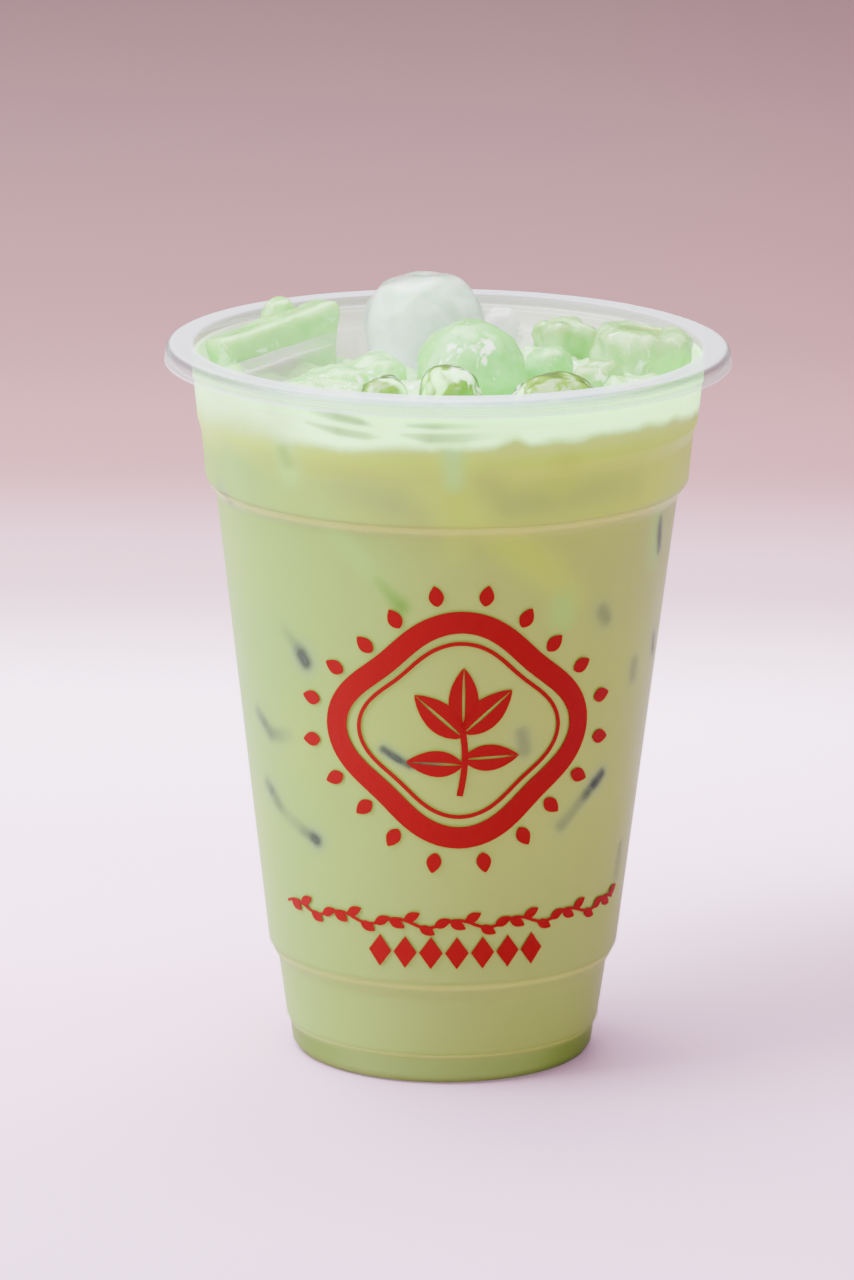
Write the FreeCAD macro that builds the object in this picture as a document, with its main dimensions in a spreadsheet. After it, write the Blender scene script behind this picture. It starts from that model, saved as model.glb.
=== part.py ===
"""Takeaway cup of iced green milk tea: a thin stepped plastic cup with a rolled lip, the drink in it,
and melted pieces of tube ice standing in pockets of the drink. Millimetres, +Z up, and the origin is
the middle of the foot ring on the table."""

import FreeCAD
import Part
import math
import os

import Sketcher

SHEET = "Sizes"
PARTS_FOLDER = "parts"
NEAR = 0.05

# The cup's driving dimensions. Heights of its lower half count up from the table, and those of its
# upper half count down from the lip. A draft or a step is a change of radius.
CUP_SIZES = {
    "cup_height": 122.0,
    "wall": 0.5,
    # the rolled lip, a hook in section
    "rim_d": 95.0,
    "lip_width": 4.6,
    "lip_drop": 2.9,
    "lip_wall": 0.6,
    "lip_flare": 0.25,
    "lip_turn": 1.2,
    "lip_outer_round": 1.5,
    "lip_mouth_round": 0.6,
    # the neck, with a fine line under the lip and a soft step lower down
    "neck_line_drop": 5.4,
    "neck_line_fall": 0.5,
    "neck_line_step": 0.25,
    "neck_draft": 0.6,
    "neck_step_drop": 12.4,
    "neck_step_fall": 2.4,
    "neck_step": 0.7,
    "neck_step_round": 1.6,
    # the upper band and the ledge that cups hang on when they are stacked
    "band_drop": 22.4,
    "band_draft": 0.65,
    "ledge_fall": 2.6,
    "ledge_step": 1.65,
    "ledge_round": 2.0,
    "crease_round": 0.6,
    # the lower ledge and the lower band
    "low_ledge_rise": 3.3,
    "low_ledge_step": 1.67,
    "low_band_top": 15.7,
    "low_band_draft": 1.45,
    # the foot, which stands on a ring round a raised base
    "foot_step_rise": 0.8,
    "foot_step": 0.5,
    "foot_height": 4.7,
    "foot_draft": 0.65,
    "foot_d": 51.2,
    "foot_corner": 1.2,
    "foot_ring": 2.0,
    "recess_height": 4.0,
    "recess_draft": 0.8,
    "recess_round": 0.6,
    # how far the drink's level is under the top of the lip
    "headspace": 11.5,
}

# What all the ice has in common, in degrees: melting narrows a bar towards its crown.
ICE_SIZES = {"melt_taper": 1.2}

# Bars of ice, each placed by its foot. gap is the clear space from the foot's side to what it stands
# beside, which is the cup's wall or another piece, and around is its direction from the axis or from
# that piece (0 is +X and 90 is +Y). depth is how far the foot is under the drink's level, and lean tips
# the crown towards the direction lean_to. A bar with a bore is hollow, as tube ice is.
BARS = {
    "ice_tall": dict(d=22.2, length=31.0, crown=8.8, foot=3.5, gap=3.9, around=3.4,
                     depth=9.9, lean=5.0, lean_to=165.0),
    "ice_dome": dict(d=18.6, length=24.0, crown=8.3, foot=3.0, gap=1.9, around=-78.7,
                     depth=7.0, lean=4.0, lean_to=20.0),
    "ice_middle": dict(d=8.6, length=18.0, crown=3.4, foot=2.2, gap=1.1, around=27.5,
                       depth=6.3, lean=5.0, lean_to=30.0),
    "ice_back": dict(d=7.0, length=18.0, crown=3.0, foot=1.8, gap=1.0, around=47.5,
                     depth=5.1, lean=3.0, lean_to=60.0),
    "ice_front": dict(d=11.0, length=21.0, crown=5.0, foot=2.5, gap=3.4, around=-89.6,
                      depth=6.5, lean=3.0, lean_to=-90.0),
    "ice_front_left": dict(d=9.0, length=18.0, crown=4.0, foot=2.0, gap=0.3, around=174.9,
                           depth=5.6, lean=3.0, lean_to=-120.0),
    "ice_front_right": dict(d=16.4, length=20.0, crown=7.4, foot=3.0, gap=1.3, around=-55.6,
                            depth=7.9, lean=3.0, lean_to=-56.0),
    "ice_side_right": dict(d=9.2, length=17.0, crown=4.0, foot=2.2, gap=8.3, around=-29.6,
                           depth=5.0, lean=5.0, lean_to=-20.0),
    "ice_back_left": dict(d=7.0, length=18.0, crown=2.6, foot=2.2, gap=2.1, around=143.3,
                          depth=3.4, lean=5.0, lean_to=136.0),
    "ice_tube": dict(d=17.0, length=22.0, crown=2.6, foot=2.6, gap=0.8, around=2.8,
                     depth=8.0, lean=4.0, lean_to=3.0, bore_d=7.0, bore_depth=13.0),
}

# Plates broken off larger ice: four-sided, with height at one end and end_height at the other. slant
# draws the foot in at both ends, and edge rounds the whole piece. turn is the way it faces, and lean
# tips its top away.
PLATES = {
    "ice_slab": dict(length=24.4, height=13.2, end_height=18.0, thick=7.0, slant=2.0, edge=1.4,
                     gap=9.7, around=161.4, depth=2.4, turn=33.0, lean=6.0),
    "ice_flat": dict(length=24.0, height=10.0, end_height=14.2, thick=9.0, slant=1.0, edge=1.0,
                     gap=14.1, around=176.3, depth=2.8, turn=33.0, lean=6.0),
    "ice_lying": dict(length=23.0, height=10.6, end_height=16.4, thick=12.0, slant=1.5, edge=3.5,
                      gap=18.4, around=-148.1, depth=4.0, turn=15.0, lean=0.0),
    "ice_chip": dict(length=12.0, height=17.6, end_height=14.2, thick=9.0, slant=1.5, edge=2.0,
                     gap=14.0, around=35.4, depth=4.0, turn=28.0, lean=5.0),
}

# What a piece stands beside, where that isn't the cup's wall.
BESIDE = {
    "ice_tall": "ice_slab",
    "ice_dome": "ice_tall",
    "ice_middle": "ice_dome",
    "ice_back": "ice_tall",
    "ice_front_left": "ice_front",
}


def makeSheet(doc):
    """The spreadsheet, with one aliased cell for each driving dimension."""
    sheet = doc.addObject("Spreadsheet::Sheet", SHEET)
    rows = dict(CUP_SIZES, **ICE_SIZES)
    for piece, sizes in {**BARS, **PLATES}.items():
        rows.update({f"{piece}_{size}": value for size, value in sizes.items()})
    for number, (alias, value) in enumerate(rows.items(), start=1):
        sheet.set(f"A{number}", alias)
        sheet.set(f"B{number}", str(value))
        sheet.setAlias(f"B{number}", alias)
    doc.recompute()
    return sheet


def total(*terms):
    """A sum of cells as an expression. -alias takes a cell away, and alias/2 is half of it."""
    signed = []
    for term in terms:
        sign = "- " if term.startswith("-") else "+ "
        alias, _, share = term.removeprefix("-").partition("/")
        signed.append(sign + f"{SHEET}.{alias}" + (f" / {share}" if share else ""))
    return " ".join(signed).removeprefix("+ ")


# ---------------------------------------------------------------- sketches and features

def originPlane(body, role):
    return next(f for f in body.Origin.OriginFeatures if f.Role == role)


def newSketch(body, name, role="XZ_Plane"):
    sketch = body.newObject("Sketcher::SketchObject", name)
    sketch.AttachmentSupport = [(originPlane(body, role), "")]
    sketch.MapMode = "FlatFace"
    return sketch


def outline(body, name, corners):
    """A closed outline on the XZ plane. A corner is a pair of expressions, with None for zero."""
    sketch = newSketch(body, name)
    count = len(corners)
    reach = CUP_SIZES["cup_height"]
    # The corners start on a circle, and the constraints take them to their places.
    start = []
    for i in range(count):
        turn = 2 * math.pi * i / count
        start.append(FreeCAD.Vector(reach * (1 + math.cos(turn)), reach * (1 + math.sin(turn)), 0))
    for i in range(count):
        sketch.addGeometry(Part.LineSegment(start[i], start[(i + 1) % count]), False)
    for i in range(count):
        sketch.addConstraint(Sketcher.Constraint("Coincident", i, 2, (i + 1) % count, 1))
    for i, (across, up) in enumerate(corners):
        for kind, axis, place, value in (("DistanceX", -2, across, start[i].x),
                                         ("DistanceY", -1, up, start[i].y)):
            if place is None:
                sketch.addConstraint(Sketcher.Constraint("PointOnObject", i, 1, axis))
                continue
            number = sketch.addConstraint(Sketcher.Constraint(kind, -1, 1, i, 1, value))
            sketch.setExpression(f"Constraints[{number}]", place)
    return sketch


def circle(body, name, diameter):
    """A circle on the XY plane round the body's own axis."""
    sketch = newSketch(body, name, "XY_Plane")
    middle = FreeCAD.Vector(0, 0, 0)
    sketch.addGeometry(Part.Circle(middle, FreeCAD.Vector(0, 0, 1), 1.0), False)
    sketch.addConstraint(Sketcher.Constraint("Coincident", 0, 3, -1, 1))
    number = sketch.addConstraint(Sketcher.Constraint("Diameter", 0, 1.0))
    sketch.setExpression(f"Constraints[{number}]", diameter)
    return sketch


def feature(body, kind, name, **settings):
    """A PartDesign feature at the body's tip. Settings are properties, or expressions where text."""
    made = body.newObject(f"PartDesign::{kind}", name)
    for setting, value in settings.items():
        if isinstance(value, str):
            made.setExpression(setting, value)
        else:
            setattr(made, setting, value)
    body.Tip = made
    body.Document.recompute()
    return made


def turned(body, kind, name, corners):
    """A Revolution or a Groove of an outline round the body's axis."""
    sketch = outline(body, name + "Outline", corners)
    return feature(body, kind, name, Profile=sketch, ReferenceAxis=(sketch, ["V_Axis"]), Angle=360.0)


def rings(made, height, inner=0.0, outer=math.inf):
    """Names of the feature's level circles at this height, with a radius between inner and outer."""
    names = []
    for number, edge in enumerate(made.Shape.Edges, start=1):
        curve = edge.Curve
        if not isinstance(curve, Part.Circle) or abs(curve.Axis.z) < 1 - NEAR:
            continue
        if abs(curve.Center.z - height) < NEAR and inner < curve.Radius < outer:
            names.append(f"Edge{number}")
    return names


def rounded(body, name, edges, radius):
    """A fillet on these edges of the body's tip."""
    return feature(body, "Fillet", name, Base=(body.Tip, edges), Radius=radius)


def roundRing(body, name, radius, height, **between):
    """A fillet on the ring at a height, which is an expression as the radius is."""
    level = float(body.evalExpression(height))
    return rounded(body, name, rings(body.Tip, level, **between), radius)


# ---------------------------------------------------------------- the cup and the drink

# The cup's outer radii.
NECK = ("rim_d/2", "-lip_width")
NECK_LINE = (*NECK, "-neck_line_step")
NECK_LOW = (*NECK_LINE, "-neck_draft")
BAND_HIGH = (*NECK_LOW, "-neck_step")
BAND_LOW = (*BAND_HIGH, "-band_draft")
LEDGE_LOW = (*BAND_LOW, "-ledge_step")
FOOT_HIGH = ("foot_d/2", "foot_draft")
LOW_BAND_LOW = (*FOOT_HIGH, "foot_step")
LOW_BAND_HIGH = (*LOW_BAND_LOW, "low_band_draft")
LOW_LEDGE_HIGH = (*LOW_BAND_HIGH, "low_ledge_step")
RECESS = ("foot_d/2", "-foot_corner", "-foot_ring")
LEVEL = ("cup_height", "-headspace")

# The corners of the cup's side from the foot up: name, radius, height, and the size that rounds it on
# the outside, with a sign for what the wall does to that size on the inside.
SIDE = [
    ("FootHigh", FOOT_HIGH, ("foot_height",), None, ""),
    ("LowBandLow", LOW_BAND_LOW, ("foot_height", "foot_step_rise"), None, ""),
    ("LowBandHigh", LOW_BAND_HIGH, ("low_band_top",), "crease_round", ""),
    ("LowLedge", LOW_LEDGE_HIGH, ("low_band_top", "low_ledge_rise"), "ledge_round", "-"),
    ("LedgeLow", LEDGE_LOW, ("cup_height", "-band_drop", "-ledge_fall"), "crease_round", ""),
    ("Ledge", BAND_LOW, ("cup_height", "-band_drop"), "ledge_round", "-"),
    ("BandHigh", BAND_HIGH, ("cup_height", "-neck_step_drop", "-neck_step_fall"), "neck_step_round", ""),
    ("NeckLow", NECK_LOW, ("cup_height", "-neck_step_drop"), "neck_step_round", "-"),
    ("NeckLine", NECK_LINE, ("cup_height", "-neck_line_drop", "-neck_line_fall"), None, ""),
    ("Neck", NECK, ("cup_height", "-neck_line_drop"), None, ""),
]


def sideCorners(*inwards):
    return [(total(*radius, *inwards), total(*height)) for _, radius, height, _, _ in SIDE]


def roundSide(body, prefix, inside):
    """Rounds the steps of the side. Inside, a corner is tighter or wider by the wall."""
    for name, _, height, size, sign in SIDE:
        if size:
            wall = [sign + "wall"] if inside else []
            roundRing(body, prefix + name, total(size, *wall), total(*height))


def roomInside(body, kind, name):
    """The room in the cup from its floor up to the mouth, cut out of the cup or filled by the drink."""
    mouth = total("cup_height")
    turned(body, kind, name, [
        (None, total("recess_height", "wall")),
        (total(*RECESS, "-recess_draft", "wall"), total("recess_height", "wall")),
        (total(*RECESS, "wall"), total("wall")),
        (total("foot_d/2", "-wall"), total("wall")),
        *sideCorners("-wall"),
        (total(*NECK, "-wall"), mouth),
        (None, mouth),
    ])
    roundSide(body, name, inside=True)
    middle = float(body.evalExpression(total(*RECESS)))
    roundRing(body, name + "Corner", total("foot_corner", "-wall"), total("wall"), inner=middle)
    panel = total("recess_height", "wall")
    roundRing(body, name + "Panel", total("recess_round", "wall"), panel, outer=middle)


def makeCup(doc):
    """The cup: its outside is turned, then the lip's channel, the foot's recess and the room are cut."""
    body = doc.addObject("PartDesign::Body", "cup")
    lip_top, lip_foot = total("cup_height"), total("cup_height", "-lip_drop")
    turned(body, "Revolution", "Outside", [
        (None, None),
        (total("foot_d/2"), None),
        *sideCorners(),
        (total(*NECK), lip_foot),
        (total("rim_d/2"), lip_foot),
        (total("rim_d/2", "-lip_flare"), lip_top),
        (None, lip_top),
    ])
    roundSide(body, "Outside", inside=False)
    roundRing(body, "FootCorner", total("foot_corner"), "0")
    roundRing(body, "LipRound", total("lip_outer_round"), lip_top)

    roof = total("cup_height", "-lip_wall")
    turn_top = total("cup_height", "-lip_drop", "lip_wall")
    turned(body, "Groove", "LipChannel", [
        (total(*NECK), lip_foot),
        (total(*NECK), roof),
        (total("rim_d/2", "-lip_flare", "-lip_wall"), roof),
        (total("rim_d/2", "-lip_wall"), turn_top),
        (total("rim_d/2", "-lip_turn"), turn_top),
        (total("rim_d/2", "-lip_turn"), lip_foot),
    ])
    neck = float(body.evalExpression(total(*NECK, "lip_wall")))
    roundRing(body, "LipBend", total("lip_outer_round", "-lip_wall"), roof, inner=neck)

    panel = total("recess_height")
    turned(body, "Groove", "FootRecess", [
        (None, None),
        (total(*RECESS), None),
        (total(*RECESS, "-recess_draft"), panel),
        (None, panel),
    ])
    roundRing(body, "RecessRound", total("recess_round"), panel)

    roomInside(body, "Groove", "Room")
    roundRing(body, "MouthRound", total("lip_mouth_round"), lip_top, outer=neck)
    return body


def makeDrink(doc, ice):
    """The drink fills the room up to its level, with a pocket for each piece of ice."""
    body = doc.addObject("PartDesign::Body", "drink_fill")
    roomInside(body, "Revolution", "Fill")
    lip_top = total("cup_height")
    turned(body, "Groove", "Headspace", [
        (None, total(*LEVEL)),
        (total("rim_d/2"), total(*LEVEL)),
        (total("rim_d/2"), lip_top),
        (None, lip_top),
    ])
    pockets = doc.addObject("Part::MultiFuse", "drink_pockets")
    pockets.Shapes = ice
    drink = doc.addObject("Part::Cut", "drink")
    drink.Base = body
    drink.Tool = pockets
    return drink


# ---------------------------------------------------------------- the ice

def reach(name):
    """Half of the piece's breadth, out to what stands beside it."""
    return f"{name}_length/2" if name in PLATES else f"{name}_d/2"


def footPlace(name):
    """Expressions for where the foot is: beside another piece, or in from the wall."""
    turn = total(f"{name}_around")
    if name in BESIDE:
        base = BESIDE[name]
        along, across = footPlace(base)
        out = total(reach(base), reach(name), f"{name}_gap")
        return f"{along} + ({out}) * cos({turn})", f"{across} + ({out}) * sin({turn})"
    width = [] if name in PLATES else [f"-{name}_d/2"]
    out = total(*BAND_LOW, "-wall", f"-{name}_gap", *width)
    return f"({out}) * cos({turn})", f"({out}) * sin({turn})"


def seat(body, name, rotation):
    """Binds the piece's Placement: its foot in the drink, and turned as the ice lies."""
    along, across = footPlace(name)
    foot = total(*LEVEL, f"-{name}_depth")
    body.setExpression("Placement", f"placement(vector({along}; {across}; {foot}); {rotation})")


def makeBar(doc, name):
    """A round bar of ice, which narrows to a melted crown, with its bore where it has one."""
    body = doc.addObject("PartDesign::Body", name)
    feature(body, "Pad", name + "Bar", Profile=circle(body, name + "Section", total(f"{name}_d")),
            Length=total(f"{name}_length"), TaperAngle="-" + total("melt_taper"))
    inner = 0.0
    if "bore_d" in BARS[name]:
        sketch = circle(body, name + "BoreSection", total(f"{name}_bore_d"))
        sketch.setExpression("AttachmentOffset.Base.z", total(f"{name}_length"))
        feature(body, "Pocket", name + "Bore", Profile=sketch, Length=total(f"{name}_bore_depth"))
        inner = float(body.evalExpression(total(f"{name}_bore_d/2"))) + NEAR
    roundRing(body, name + "Crown", total(f"{name}_crown"), total(f"{name}_length"), inner=inner)
    roundRing(body, name + "Foot", total(f"{name}_foot"), "0")
    lean_to, lean = total(f"{name}_lean_to"), total(f"{name}_lean")
    seat(body, name, f"rotationz({lean_to}) * rotationy({lean})")
    return body


def makePlate(doc, name):
    """A four-sided plate of ice, padded both ways from its middle and rounded all over."""
    body = doc.addObject("PartDesign::Body", name)
    half, slant = f"{name}_length/2", f"{name}_slant"
    face = outline(body, name + "Face", [
        ("-(" + total(half, f"-{slant}") + ")", None),
        (total(half, f"-{slant}"), None),
        (total(half), total(f"{name}_end_height")),
        ("-(" + total(half) + ")", total(f"{name}_height")),
    ])
    plate = feature(body, "Pad", name + "Plate", Profile=face, Length=total(f"{name}_thick"),
                    Midplane=True)
    edges = [f"Edge{number}" for number in range(1, len(plate.Shape.Edges) + 1)]
    rounded(body, name + "Edge", edges, total(f"{name}_edge"))
    turn, lean = total(f"{name}_turn"), total(f"{name}_lean")
    seat(body, name, f"rotationz({turn}) * rotationx(-{lean})")
    return body


# ---------------------------------------------------------------- the whole part

def checkDocument(doc, nodes):
    """Stops the script if an object has failed or a sub-part has no sound shape."""
    for thing in doc.Objects:
        if "Invalid" in thing.State or "Error" in thing.State:
            raise RuntimeError(f"{thing.Name} failed: {thing.State}")
    for node in nodes:
        if node.Shape.isNull() or not node.Shape.isValid():
            raise RuntimeError(f"{node.Label} has no valid shape")
        if len(node.Shape.Solids) != 1:
            raise RuntimeError(f"{node.Label} is {len(node.Shape.Solids)} solids, not one")


def main():
    doc = FreeCAD.newDocument("GreenMilkTea")
    makeSheet(doc)
    cup = makeCup(doc)
    ice = [makeBar(doc, name) for name in BARS] + [makePlate(doc, name) for name in PLATES]
    drink = makeDrink(doc, ice)
    doc.recompute()
    nodes = [cup, drink, *ice]
    for node in nodes:
        node.Label = node.Name
    checkDocument(doc, nodes)
    os.makedirs(PARTS_FOLDER, exist_ok=True)
    for node in nodes:
        node.Shape.exportStep(os.path.join(PARTS_FOLDER, node.Label + ".step"))
        print(f"{node.Label}: {node.Shape.Volume / 1000:.2f} ml, box {node.Shape.BoundBox}")


main()
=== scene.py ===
import math

import bmesh
import bpy
from mathutils import Matrix, Vector, noise
from mathutils.bvhtree import BVHTree


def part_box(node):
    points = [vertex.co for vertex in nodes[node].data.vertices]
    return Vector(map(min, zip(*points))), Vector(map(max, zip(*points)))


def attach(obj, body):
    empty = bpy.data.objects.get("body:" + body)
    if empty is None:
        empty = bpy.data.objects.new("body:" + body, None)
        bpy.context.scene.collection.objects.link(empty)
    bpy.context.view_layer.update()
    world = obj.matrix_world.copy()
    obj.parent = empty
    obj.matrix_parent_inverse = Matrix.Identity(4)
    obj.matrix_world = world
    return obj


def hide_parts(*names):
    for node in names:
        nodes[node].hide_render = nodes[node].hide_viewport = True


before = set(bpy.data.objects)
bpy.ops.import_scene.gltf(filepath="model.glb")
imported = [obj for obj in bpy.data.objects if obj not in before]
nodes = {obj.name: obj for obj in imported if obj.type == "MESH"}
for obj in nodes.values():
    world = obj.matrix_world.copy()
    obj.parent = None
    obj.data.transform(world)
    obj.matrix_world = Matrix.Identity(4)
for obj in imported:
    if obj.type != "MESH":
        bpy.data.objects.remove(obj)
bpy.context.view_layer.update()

mm = 0.001
weld = 0.001 * mm  # points nearer to each other than this become one
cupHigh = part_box("cup")[1]
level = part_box("drink")[1].z
print("frame loaded:", len(nodes), "nodes")

# The cup's measures are read from its own surface, by rays.
cupTree = BVHTree.FromPolygons([v.co for v in nodes["cup"].data.vertices],
                               [p.vertices for p in nodes["cup"].data.polygons])
radiusCache = {}


def wallRadius(z, outside=True):
    key = (round(z, 5), outside)
    if key not in radiusCache:
        start = Vector((2 * cupHigh.x if outside else 0, 0, z))
        hit = cupTree.ray_cast(start, Vector((-1 if outside else 1, 0, 0)))[0]
        radiusCache[key] = hit.x
    return radiusCache[key]


def onWall(angle, z, lift):  # angle is from the front and grows to the right, lift is out from the wall
    radius = wallRadius(z) + lift
    return Vector((radius * math.sin(angle), -radius * math.cos(angle), z))


def between(table, x):  # a table of (x, value) pairs with x rising
    for (x0, y0), (x1, y1) in zip(table, table[1:]):
        if x <= x1:
            share = max(0.0, (x - x0) / (x1 - x0))
            return y0 + (y1 - y0) * share
    return table[-1][1]


def ease(x):
    x = min(max(x, 0.0), 1.0)
    return x * x * (3 - 2 * x)


def newPiece(name, bm, material, smooth=True):
    mesh = bpy.data.meshes.new(name)
    bm.to_mesh(mesh)
    bm.free()
    piece = bpy.data.objects.new(name, mesh)
    bpy.context.collection.objects.link(piece)
    mesh.materials.append(material)
    for polygon in mesh.polygons:
        polygon.use_smooth = smooth
    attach(piece, "root")
    return piece


def spinProfile(profile, steps, closed=False):  # profile is (radius, z) pairs in order
    bm = bmesh.new()
    verts = [bm.verts.new((0, -radius, z)) for radius, z in profile]
    pairs = list(zip(verts, verts[1:])) + ([(verts[-1], verts[0])] if closed else [])
    edges = [bm.edges.new(pair) for pair in pairs]
    bmesh.ops.spin(bm, geom=verts + edges, cent=(0, 0, 0), axis=(0, 0, 1), dvec=(0, 0, 0),
                   angle=2 * math.pi, steps=steps, use_merge=True, use_duplicate=False)
    bmesh.ops.remove_doubles(bm, verts=bm.verts, dist=weld)
    bmesh.ops.recalc_face_normals(bm, faces=bm.faces)
    return bm


class Shader:
    def __init__(self, name):
        self.material = bpy.data.materials.new(name)
        self.material.use_nodes = True
        self.tree = self.material.node_tree
        self.tree.nodes.clear()
        self.output = self.add("ShaderNodeOutputMaterial")
        self.place = self.add("ShaderNodeTexCoord").outputs["Object"]
        split = self.add("ShaderNodeSeparateXYZ")
        self.link(self.place, split.inputs[0])
        self.x, self.y, self.z = split.outputs

    def add(self, kind, **values):
        node = self.tree.nodes.new(kind)
        for key, value in values.items():
            setattr(node, key, value)
        return node

    def link(self, source, target):
        self.tree.links.new(source, target)

    def feed(self, target, value):
        if isinstance(value, bpy.types.NodeSocket):
            self.link(value, target)
        else:
            target.default_value = value

    def attribute(self, name):
        return self.add("ShaderNodeAttribute", attribute_name=name).outputs["Fac"]

    def math(self, operation, a, b=0.0):
        node = self.add("ShaderNodeMath", operation=operation)
        for socket, value in zip(node.inputs, (a, b)):
            self.feed(socket, value)
        return node.outputs[0]

    def times(self, *values):
        product = values[0]
        for value in values[1:]:
            product = self.math("MULTIPLY", product, value)
        return product

    # Eases from toLow at low to toHigh at high, which is the order of the spans in the dictionaries.
    def span(self, value, low, high, toLow=0.0, toHigh=1.0, kind="SMOOTHSTEP"):
        node = self.add("ShaderNodeMapRange", interpolation_type=kind)
        for socket, number in zip(node.inputs, (value, low, high, toLow, toHigh)):
            self.feed(socket, number)
        return node.outputs[0]

    def band(self, value, low, high, soft):  # 1 between low and high, with soft sides
        return self.times(self.span(value, low - soft, low + soft),
                          self.span(value, high - soft, high + soft, 1.0, 0.0))

    def noise(self, scale, detail, roughness=0.5, distortion=0.0, stretch=(1, 1, 1)):
        place = self.add("ShaderNodeMapping")
        self.link(self.place, place.inputs["Vector"])
        place.inputs["Scale"].default_value = stretch
        node = self.add("ShaderNodeTexNoise")
        self.link(place.outputs[0], node.inputs["Vector"])
        node.inputs["Scale"].default_value = scale
        node.inputs["Detail"].default_value = detail
        node.inputs["Roughness"].default_value = roughness
        node.inputs["Distortion"].default_value = distortion
        return node.outputs["Fac"]

    def patches(self, low, high, toLow=0.0, toHigh=1.0, **pattern):  # noise that comes in from low to high
        return self.span(self.noise(**pattern), low, high, toLow, toHigh)

    def bump(self, height, distance, strength):
        node = self.add("ShaderNodeBump")
        self.link(height, node.inputs["Height"])
        node.inputs["Distance"].default_value = distance
        node.inputs["Strength"].default_value = strength
        return node.outputs["Normal"]

    def facing(self):  # 0 where the surface faces the eye and 1 at its outline
        return self.add("ShaderNodeLayerWeight").outputs["Facing"]

    def mix(self, share, a, b, blend="MIX"):
        node = self.add("ShaderNodeMix", data_type="RGBA", blend_type=blend)
        self.feed(node.inputs["Factor"], share)
        self.feed(node.inputs["A"], a if isinstance(a, bpy.types.NodeSocket) else (*a, 1.0))
        self.feed(node.inputs["B"], b if isinstance(b, bpy.types.NodeSocket) else (*b, 1.0))
        return node.outputs["Result"]

    def principled(self, values):  # values are socket names with numbers, colours or links
        node = self.add("ShaderNodeBsdfPrincipled")
        for name, value in values.items():
            if "Color" in name:
                value = value if isinstance(value, bpy.types.NodeSocket) else (*value, 1.0)
            self.feed(node.inputs[name], value)
        self.link(node.outputs[0], self.output.inputs["Surface"])
        return self.material


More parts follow.
